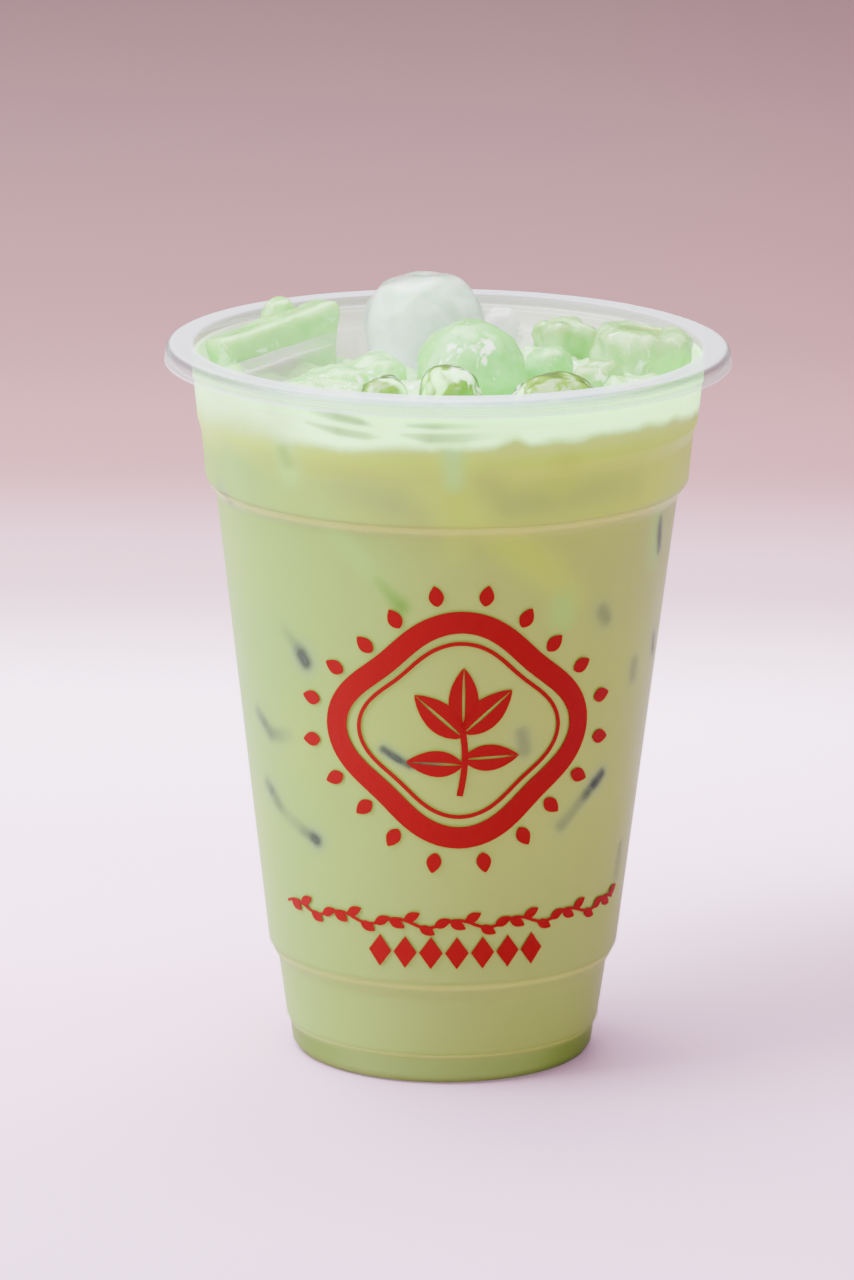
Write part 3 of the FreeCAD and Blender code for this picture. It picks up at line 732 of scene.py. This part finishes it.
def iceMaterial(kind, look):
    s = Shader(kind + "Ice")
    cloud = s.patches(**iceLook["cloud"])
    colour = s.mix(cloud, look["one"], look["two"])
    # Glow is painted light.
    glow = look["glow"]
    facing = s.facing()
    rim = s.span(facing, *look.get("rimSpan", iceLook["rimSpan"]))
    cover = look["cover"][0]
    if look["cover"][1] < cover:
        cover = s.span(facing, *iceLook["coverSpan"], *look["cover"])
    if "patch" in look:
        patches = s.patches(**iceLook["patches"])
        colour = s.mix(patches, colour, look["patch"])
        glow = s.mix(s.math("MAXIMUM", rim, patches), glow, (0, 0, 0))
    if "low" in look:
        low = s.span(s.z, *look["lowHeights"])
        colour = s.mix(low, colour, look["low"])
        glow = s.mix(low, glow, look["lowGlow"])
    if "fadesTo" in look:
        end = look["fadesTo"] - iceLook["fadeEnd"]
        cover = s.times(cover, s.span(s.x, end - iceLook["fadeLong"], end, 1.0, iceLook["fadeCover"]))
    # Painted refraction and reflection: the outline is mixed towards the rim tone.
    colour = s.mix(s.times(rim, look["rimShare"]), colour, look["rim"])
    # Painted glints with a painted glow, partly white cracks in the ice.
    if look["fleck"] > 0:
        cracksAndGlints = s.patches(**iceLook["cracksAndGlints"])
        fleck = s.times(cracksAndGlints, s.patches(**iceLook["crackAndGlintParts"]), look["fleck"])
        colour = s.mix(fleck, colour, iceLook["fleck"])
        glow = s.mix(fleck, glow, iceLook["fleckGlow"])
    fine = s.times(s.noise(**iceLook["fineRelief"]), iceLook["fineShare"])
    skin = s.math("ADD", s.noise(**iceLook["relief"]), fine)
    relief = s.bump(skin, iceLook["reliefDeep"], look["bump"])
    return s.principled({"Base Color": colour, "Roughness": look["rough"], "IOR": iceLook["ior"],
                         "Specular IOR Level": iceLook["gloss"], "Subsurface Weight": look["through"],
                         "Subsurface Scale": iceLook["soakDeep"], "Transmission Weight": look["clear"],
                         "Normal": relief, "Alpha": cover, "Emission Color": glow,
                         "Emission Strength": 1.0})


def makeIce(name, material, push, breadth):  # a melted copy of the solid, no higher than the solid
    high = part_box(name)[1]
    bm = bmesh.new()
    bm.from_mesh(nodes[name].data)
    bmesh.ops.remove_doubles(bm, verts=bm.verts, dist=weld)
    piece = newPiece(name.replace("_", "") + "Melted", bm, material)
    remesh = piece.modifiers.new("remesh", "REMESH")
    remesh.mode = "VOXEL"
    remesh.voxel_size = iceLook["mesh"]
    bpy.context.view_layer.update()
    melted = bmesh.new()
    melted.from_object(piece, bpy.context.evaluated_depsgraph_get())
    piece.modifiers.clear()
    for _ in range(iceLook["smoothings"]):
        bmesh.ops.smooth_vert(melted, verts=melted.verts, factor=0.5, use_axis_x=True, use_axis_y=True,
                              use_axis_z=True)
    melted.normal_update()
    small = iceLook["smallSwells"]
    for vert in melted.verts:
        spot = vert.co / (breadth * mm)
        swell = noise.noise(spot) + small["share"] * noise.noise(spot * small["finer"])
        vert.co += vert.normal * swell * push * mm
        vert.co.z = min(vert.co.z, high.z)
    bmesh.ops.recalc_face_normals(melted, faces=melted.faces)
    melted.to_mesh(piece.data)
    melted.free()
    for polygon in piece.data.polygons:
        polygon.use_smooth = True
    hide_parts(name)


iceMaterials = {kind: iceMaterial(kind, look) for kind, look in iceKinds.items()}
for name, (kind, push, breadth) in icePieces.items():
    makeIce(name, iceMaterials[kind], push, breadth)
print("ice made:", len(icePieces))


# EdgeCover and rough are given for the wall and for the neck. Lines round the cup are painted highlights
# along its ledges and the lip's edges: height, half breadth, cover and colour, with the first two in mm.
cupLook = {
    "drinkSide": (0.30, 0.42, 0.10),
    "clear": (0.60, 0.70, 0.68),
    "lipSide": (0.50, 0.62, 0.58),
    "lipTop": (0.10, 0.11, 0.122),
    "lipInside": (0.62, 0.60, 0.64),
    "lipFront": (0.44, 0.60, 0.64),
    "line": (0.54, 0.70, 0.07),
    "bright": (0.85, 0.90, 1.0),
    "neckHeights": (110 * mm, 113 * mm),
    "lipHeights": (118.8 * mm, 119.3 * mm),
    "topHeights": (120.3 * mm, 121.3 * mm),
    "foldHeights": (107.5 * mm, 112 * mm),
    "foldSoft": 0.8 * mm,
    "openingAt": 120 * mm,
    "insideSpan": (0.1 * mm, 1.0 * mm),
    "frontSpan": (-46 * mm, -30 * mm),
    "edgeSpan": (0.5, 1.0),
    "wallCover": 0.02,
    "neckCover": 0.05,
    "lipCover": 0.10,
    "topCover": 0.30,
    "insideCover": 0.14,
    "edgeCover": (0.03, 0.15),
    "rough": (0.55, 0.25),
    "gloss": 0.35,
    "ior": 1.49,
    "lineSoft": 0.15,
    "highlightLines": [(98.7, 0.7, 0.42, "line"), (18.1, 0.6, 0.30, "line"), (5.3, 0.25, 0.3, "line"),
              (116.4, 0.22, 0.2, "clear"), (119.3, 0.16, 0.5, "bright"), (121.95, 0.12, 0.5, "bright")],
}


def cupMaterial():
    look = cupLook
    s = Shader("frostedPlastic")
    neck = s.span(s.z, *look["neckHeights"])
    lip = s.span(s.z, *look["lipHeights"])
    lipTop = s.span(s.z, *look["topHeights"])
    radius = s.math("SQRT", s.math("ADD", s.times(s.x, s.x), s.times(s.y, s.y)))
    beyond = s.math("SUBTRACT", radius, wallRadius(look["openingAt"], outside=False))
    inside = s.span(beyond, *look["insideSpan"], 1.0, 0.0)
    inFront = s.span(s.y, *look["frontSpan"])
    edge = s.span(s.facing(), *look["edgeSpan"])
    foldFree = s.math("SUBTRACT", 1.0, s.band(s.z, *look["foldHeights"], look["foldSoft"]))
    edgeShare = s.span(neck, 0.0, 1.0, *look["edgeCover"])
    topShare = s.span(inside, 0.0, 1.0, look["topCover"], look["insideCover"])
    cover = s.math("ADD", look["wallCover"], s.times(neck, look["neckCover"]))
    cover = s.math("ADD", cover, s.times(lip, look["lipCover"]))
    cover = s.math("ADD", cover, s.times(lipTop, topShare))
    cover = s.math("ADD", cover, s.times(edge, foldFree, edgeShare))
    colour = s.mix(neck, look["drinkSide"], look["clear"])
    colour = s.mix(lip, colour, look["lipSide"])
    topColour = s.mix(inside, s.mix(inFront, look["lipFront"], look["lipTop"]), look["lipInside"])
    colour = s.mix(lipTop, colour, topColour)
    # Painted highlights: lines along the ledges and the lip's edges.
    for height, half, share, tone in look["highlightLines"]:
        soft = look["lineSoft"] + half / 2
        band = s.band(s.z, (height - half) * mm, (height + half) * mm, soft * mm)
        cover = s.math("MAXIMUM", cover, s.times(band, share))
        colour = s.mix(band, colour, look[tone])
    return s.principled({"Base Color": colour, "Roughness": s.span(neck, 0.0, 1.0, *look["rough"]),
                         "IOR": look["ior"], "Alpha": cover, "Specular IOR Level": look["gloss"]})


cup = nodes["cup"]
cup.data.materials.clear()
cup.data.materials.append(cupMaterial())
for polygon in cup.data.polygons:
    polygon.use_smooth = True
print("cup finished")


# Places in the print are in mm: u runs round the wall from the front and v is the height. A leaf of the
# sprig is its angle, start, length and breadth. The garland and the diamonds are their two ends and their
# height, and the diamonds their number too.
printLook = {
    "red": (0.185, 0.0042, 0.0048),
    "wornRed": (0.160, 0.0042, 0.0046),
    "wear": {"scale": 900, "detail": 2.0, "low": 0.35, "high": 0.65, "toLow": 0.45, "toHigh": 0.55},
    "rough": 0.5,
    "gloss": 0.03,
    "weld": 0.001,
    "lift": 0.02 * mm,
    "thick": 0.05 * mm,
    "middle": (2.6, 64.0),
    "frame": 17.4,
    "frameHalf": 1.9,
    "innerLine": 14.0,
    "innerHalf": 0.35,
    "lobes": 0.085,
    "wide": 1.13,
    "leafRing": 22.2,
    "leafCount": 20,
    "leafBack": 1.9,
    "ringLeaf": (3.7, 2.5),
    "stemSway": 0.8,
    "stemFoot": -11.5,
    "stemLong": 13.0,
    "stemHalf": 0.55,
    "sprigOut": 0.5,
    "sprig": [(0, 0.5, 10.5, 5.0), (48, -0.5, 11.0, 5.2), (-48, -1.2, 11.0, 5.2), (88, -5.0, 9.5, 4.6),
              (-88, -6.0, 9.5, 4.6)],
    "garland": (-30.8, 35.8, 29.7),
    "garlandHalf": 0.28,
    "garlandWaves": 6.5,
    "garlandRise": 0.7,
    "garlandLeaves": 26,
    "garlandLeaf": (3.0, 1.7),
    "garlandTurns": (118, 62),
    "diamonds": (-12.8, 17.6, 24.5, 7),
    "diamondHalf": 2.9,
    "diamondShare": 0.46,
}


def addPatch(bm, place, along=16, across=4):  # place turns a share along and a share across into (u, v)
    made = bmesh.ops.create_grid(bm, x_segments=along, y_segments=across, size=1.0)
    for vert in made["verts"]:
        u, v = place((vert.co.x + 1) / 2, vert.co.y)
        vert.co = (u, v, 0)


def addLeaf(bm, start, angle, length, breadth, rib=0.10):
    ahead = Vector((math.sin(math.radians(angle)), math.cos(math.radians(angle))))
    side = Vector((ahead.y, -ahead.x))
    for hand in (-1, 1):
        def place(s, t):
            half = breadth / 2 * math.sin(math.pi * s ** 0.85) ** 0.8 if 0 < s < 1 else 0.0
            out = rib + (1 - rib) * (t + 1) / 2
            spot = Vector(start) + ahead * length * s + side * hand * out * half
            return spot.x, spot.y
        addPatch(bm, place)


def addLine(bm, spine, half, along):  # spine turns a share along into (u, v)
    def place(s, t):
        here, ahead = Vector(spine(s)), Vector(spine(s + 0.001))
        way = (ahead - here).normalized()
        spot = here + Vector((-way.y, way.x)) * t * half
        return spot.x, spot.y
    addPatch(bm, place, along, 2)


def lobed(radius):
    look = printLook
    u0, v0 = look["middle"]

    def spine(s):
        turn = 2 * math.pi * s
        r = radius * (1 + look["lobes"] * math.cos(4 * turn))
        return u0 + look["wide"] * r * math.sin(turn), v0 + r * math.cos(turn)
    return spine


def drawEmblem(bm):
    look = printLook
    u0, v0 = look["middle"]
    addLine(bm, lobed(look["frame"]), look["frameHalf"], 120)
    addLine(bm, lobed(look["innerLine"]), look["innerHalf"], 120)
    ring = lobed(look["leafRing"])
    for i in range(look["leafCount"]):
        u, v = ring((i + 0.5) / look["leafCount"])
        outward = math.atan2(u - u0, v - v0)
        root = (u - look["leafBack"] * math.sin(outward), v - look["leafBack"] * math.cos(outward))
        addLeaf(bm, root, math.degrees(outward), *look["ringLeaf"], 0.0)

    def stem(s):
        return u0 + look["stemSway"] * math.sin(3 * s), v0 + look["stemFoot"] + look["stemLong"] * s
    addLine(bm, stem, look["stemHalf"], 16)
    for angle, start, length, breadth in look["sprig"]:
        addLeaf(bm, (u0 + look["sprigOut"], v0 + start), angle, length, breadth)


def drawGarland(bm):
    look = printLook
    low, high, height = look["garland"]

    def stem(s):
        turn = 2 * math.pi * look["garlandWaves"] * s
        return low + (high - low) * s, height + look["garlandRise"] * math.sin(turn)
    addLine(bm, stem, look["garlandHalf"], 140)
    for i in range(look["garlandLeaves"]):
        angle = look["garlandTurns"][i % 2]
        addLeaf(bm, stem((i + 0.5) / look["garlandLeaves"]), angle, *look["garlandLeaf"], 0.0)


def drawDiamonds(bm):
    look = printLook
    low, high, height, count = look["diamonds"]
    pitch = (high - low) / count
    half = look["diamondShare"] * pitch
    for i in range(count):
        middle = low + pitch * (i + 0.5)

        def diamond(s, t):
            tall = look["diamondHalf"] * (1 - abs(2 * s - 1))
            return middle + (2 * s - 1) * half, height + t * tall
        addPatch(bm, diamond, 8, 4)


def makePrint(name, draw, material):
    bm = bmesh.new()
    draw(bm)
    bmesh.ops.remove_doubles(bm, verts=bm.verts, dist=printLook["weld"])
    bmesh.ops.dissolve_degenerate(bm, edges=bm.edges, dist=printLook["weld"] / 2)
    bmesh.ops.recalc_face_normals(bm, faces=bm.faces)
    for vert in bm.verts:
        z = vert.co.y * mm
        vert.co = onWall(vert.co.x * mm / wallRadius(z), z, printLook["lift"])
    for face in bm.faces:
        face.normal_update()
        if face.normal.dot(face.calc_center_median()) < 0:
            face.normal_flip()
    piece = newPiece(name, bm, material, smooth=False)
    solid = piece.modifiers.new("solid", "SOLIDIFY")
    solid.thickness = printLook["thick"]
    solid.offset = 1.0


def printMaterial():
    look = printLook
    s = Shader("redPrint")
    colour = s.mix(s.patches(**look["wear"]), look["wornRed"], look["red"])
    return s.principled({"Base Color": colour, "Roughness": look["rough"],
                         "Specular IOR Level": look["gloss"]})


redPrint = printMaterial()
makePrint("printedEmblem", drawEmblem, redPrint)
makePrint("printedGarland", drawGarland, redPrint)
makePrint("printedDiamonds", drawDiamonds, redPrint)
print("print made")


# Tones of the floor are given from front to back and are partly painted light: the floor is painted
# brightest just behind the cup, darker towards the front and darker and pinker towards the back. A shadow is
# painted on it to the right of the cup, and its right side is painted a little darker, a painted shade.
stageLook = {
    "tones": [(-0.30, (0.45, 0.28, 0.52)), (-0.09, (0.62, 0.395, 0.60)), (0.0, (0.76, 0.46, 0.70)),
              (0.10, (0.84, 0.58, 0.85)), (0.22, (0.92, 0.70, 0.92)), (0.34, (0.48, 0.28, 0.37)),
              (0.46, (0.29, 0.125, 0.152)), (0.62, (0.242, 0.109, 0.124)), (0.95, (0.24, 0.122, 0.14)),
              (1.30, (0.235, 0.131, 0.147))],
    "paintedShadow": (0.30, 0.16, 0.23),
    "dimShare": 0.75,
    "dimSpan": (0.1, 1.0),
    "dimMiddle": (100 * mm, 45 * mm),
    "dimReach": (125 * mm, 100 * mm),
    "rightPaintedShade": (0.99, 0.93, 0.97),
    "rightSpan": (0.02, 0.14),
    "size": 6.0,
    "rough": 0.9,
    "world": (0.55, 0.42, 0.46),
}


def floorMaterial():
    look = stageLook
    s = Shader("paleFloor")
    # The tones are partly painted light, brightest just behind the cup.
    colour = look["tones"][0][1]
    for (start, _), (end, tone) in zip(look["tones"], look["tones"][1:]):
        colour = s.mix(s.span(s.y, start, end), colour, tone)
    # A painted shadow on the floor to the right of the cup.
    shares = []
    for place, middle, reach in zip((s.x, s.y), look["dimMiddle"], look["dimReach"]):
        away = s.math("DIVIDE", s.math("SUBTRACT", place, middle), reach)
        shares.append(s.math("POWER", away, 2.0))
    paintedShadow = s.span(s.math("SQRT", s.math("ADD", *shares)), *look["dimSpan"], look["dimShare"], 0.0)
    colour = s.mix(paintedShadow, colour, look["paintedShadow"])
    # Painted shade: the right side of the floor a little darker.
    rightward = s.span(s.x, *look["rightSpan"])
    colour = s.mix(rightward, colour, look["rightPaintedShade"], "MULTIPLY")
    return s.principled({"Base Color": colour, "Roughness": look["rough"]})


def makeStage():
    bm = bmesh.new()
    bmesh.ops.create_grid(bm, x_segments=1, y_segments=1, size=stageLook["size"])
    mesh = bpy.data.meshes.new("floor")
    bm.to_mesh(mesh)
    bm.free()
    floor = bpy.data.objects.new("floor", mesh)
    bpy.context.collection.objects.link(floor)
    mesh.materials.append(floorMaterial())
    world = bpy.data.worlds.new("softRoom")
    world.use_nodes = True
    background = world.node_tree.nodes["Background"]
    background.inputs["Color"].default_value = (*stageLook["world"], 1)
    background.inputs["Strength"].default_value = 1.0
    bpy.context.scene.world = world


def areaLight(name, place, aim, width, power, colour):
    data = bpy.data.lights.new(name, "AREA")
    data.shape = "SQUARE"
    data.size = width
    data.energy = power
    data.color = colour
    light = bpy.data.objects.new(name, data)
    light.location = place
    light.rotation_euler = (Vector(aim) - Vector(place)).to_track_quat("-Z", "Y").to_euler()
    bpy.context.collection.objects.link(light)


# Each light is a name, a place, what it aims at, its width, its power and its colour.
lights = [
    ("keyLeft", (-0.95, -0.20, 0.56), (0, 0, 0.05), 0.8, 24.0, (1, 1, 1)),
    ("topSoft", (-0.35, 0.10, 1.1), (0, 0, 0), 1.1, 48.0, (1, 1, 1)),
    ("fillFront", (0.5, -1.1, 0.6), (0, 0, 0.06), 0.9, 13.0, (1.0, 0.96, 0.94)),
    ("backSoft", (-0.05, 0.20, 0.60), (0, 0.20, 0), 0.5, 9.0, (1, 1, 1)),
    ("sparkle", (-0.45, -0.35, 0.85), (0, 0, 0.11), 0.12, 2.0, (1, 1, 1)),
]

cameraAt = {
    "distance": 1.2,
    "height": 0.36814,
    "pitch": 13.923,
    "heading": 0.149,
    "roll": 0.499,
    "lens": 205.76,
    "film": 36.0,
    "nearest": 0.05,
}


def makeCamera():
    data = bpy.data.cameras.new("camera")
    data.lens = cameraAt["lens"]
    data.sensor_width = cameraAt["film"]
    data.clip_start = cameraAt["nearest"]
    camera = bpy.data.objects.new("camera", data)
    turn = (Matrix.Rotation(math.radians(cameraAt["heading"]), 4, "Z")
            @ Matrix.Rotation(math.radians(90 - cameraAt["pitch"]), 4, "X")
            @ Matrix.Rotation(math.radians(cameraAt["roll"]), 4, "Z"))
    camera.matrix_world = Matrix.Translation((0, -cameraAt["distance"], cameraAt["height"])) @ turn
    bpy.context.collection.objects.link(camera)
    bpy.context.scene.camera = camera


makeStage()
for light in lights:
    areaLight(*light)
makeCamera()
print("stage and camera made")
